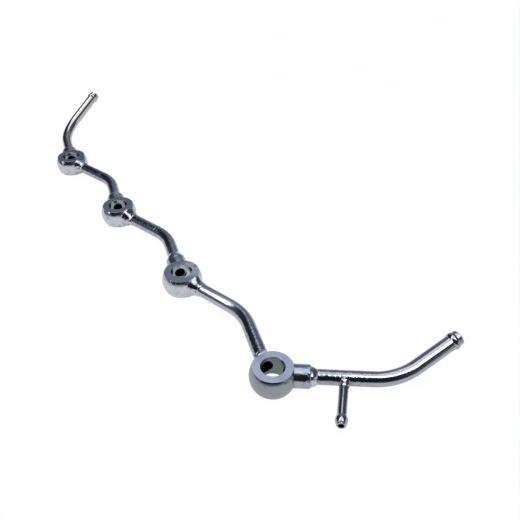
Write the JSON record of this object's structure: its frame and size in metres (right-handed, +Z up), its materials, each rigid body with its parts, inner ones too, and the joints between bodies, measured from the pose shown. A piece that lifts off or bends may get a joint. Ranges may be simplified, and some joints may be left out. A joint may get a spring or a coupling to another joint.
{
  "type": "fuel suction pipe",
  "caption": "Engine fuel suction pipe: banjo eyes in a row joined by bent steel link tubes, with a beaded hose tube at each end and a small beaded spigot.",
  "frame": {"origin": "centre of the outlet eye's bore at its lower face", "axes": "+X along the row of eyes towards the outlet eye, +Z up along the bores, +Y towards the side that both hose tubes bend to"},
  "size_m": [0.4559, 0.1104, 0.0331],
  "materials": {
    "eye_plating": "satin bright plating over a turned and milled steel eye",
    "tube_plating": "glossy bright plating on drawn steel tube, mottled near the joints",
    "spigot_plating": "glossy bright plating on a small drawn tube",
    "braze_plating": "bright plating over a slightly uneven brazed fillet"
  },
  "bodies": {
    "root": {"banjo_eye_1": "eye_plating", "banjo_eye_2": "eye_plating", "banjo_eye_3": "eye_plating", "banjo_eye_4": "eye_plating", "link_tube_1": "tube_plating", "link_tube_2": "tube_plating", "link_tube_3": "tube_plating", "far_hose_tube": "tube_plating", "outlet_hose_tube": "tube_plating", "vent_spigot": "spigot_plating", "neck_braze_1": "braze_plating", "neck_braze_2": "braze_plating", "neck_braze_3": "braze_plating", "neck_braze_4": "braze_plating", "link_braze_1": "braze_plating", "link_braze_2": "braze_plating", "link_braze_3": "braze_plating", "link_braze_4": "braze_plating", "spigot_braze": "braze_plating"}
  },
  "joints": []
}
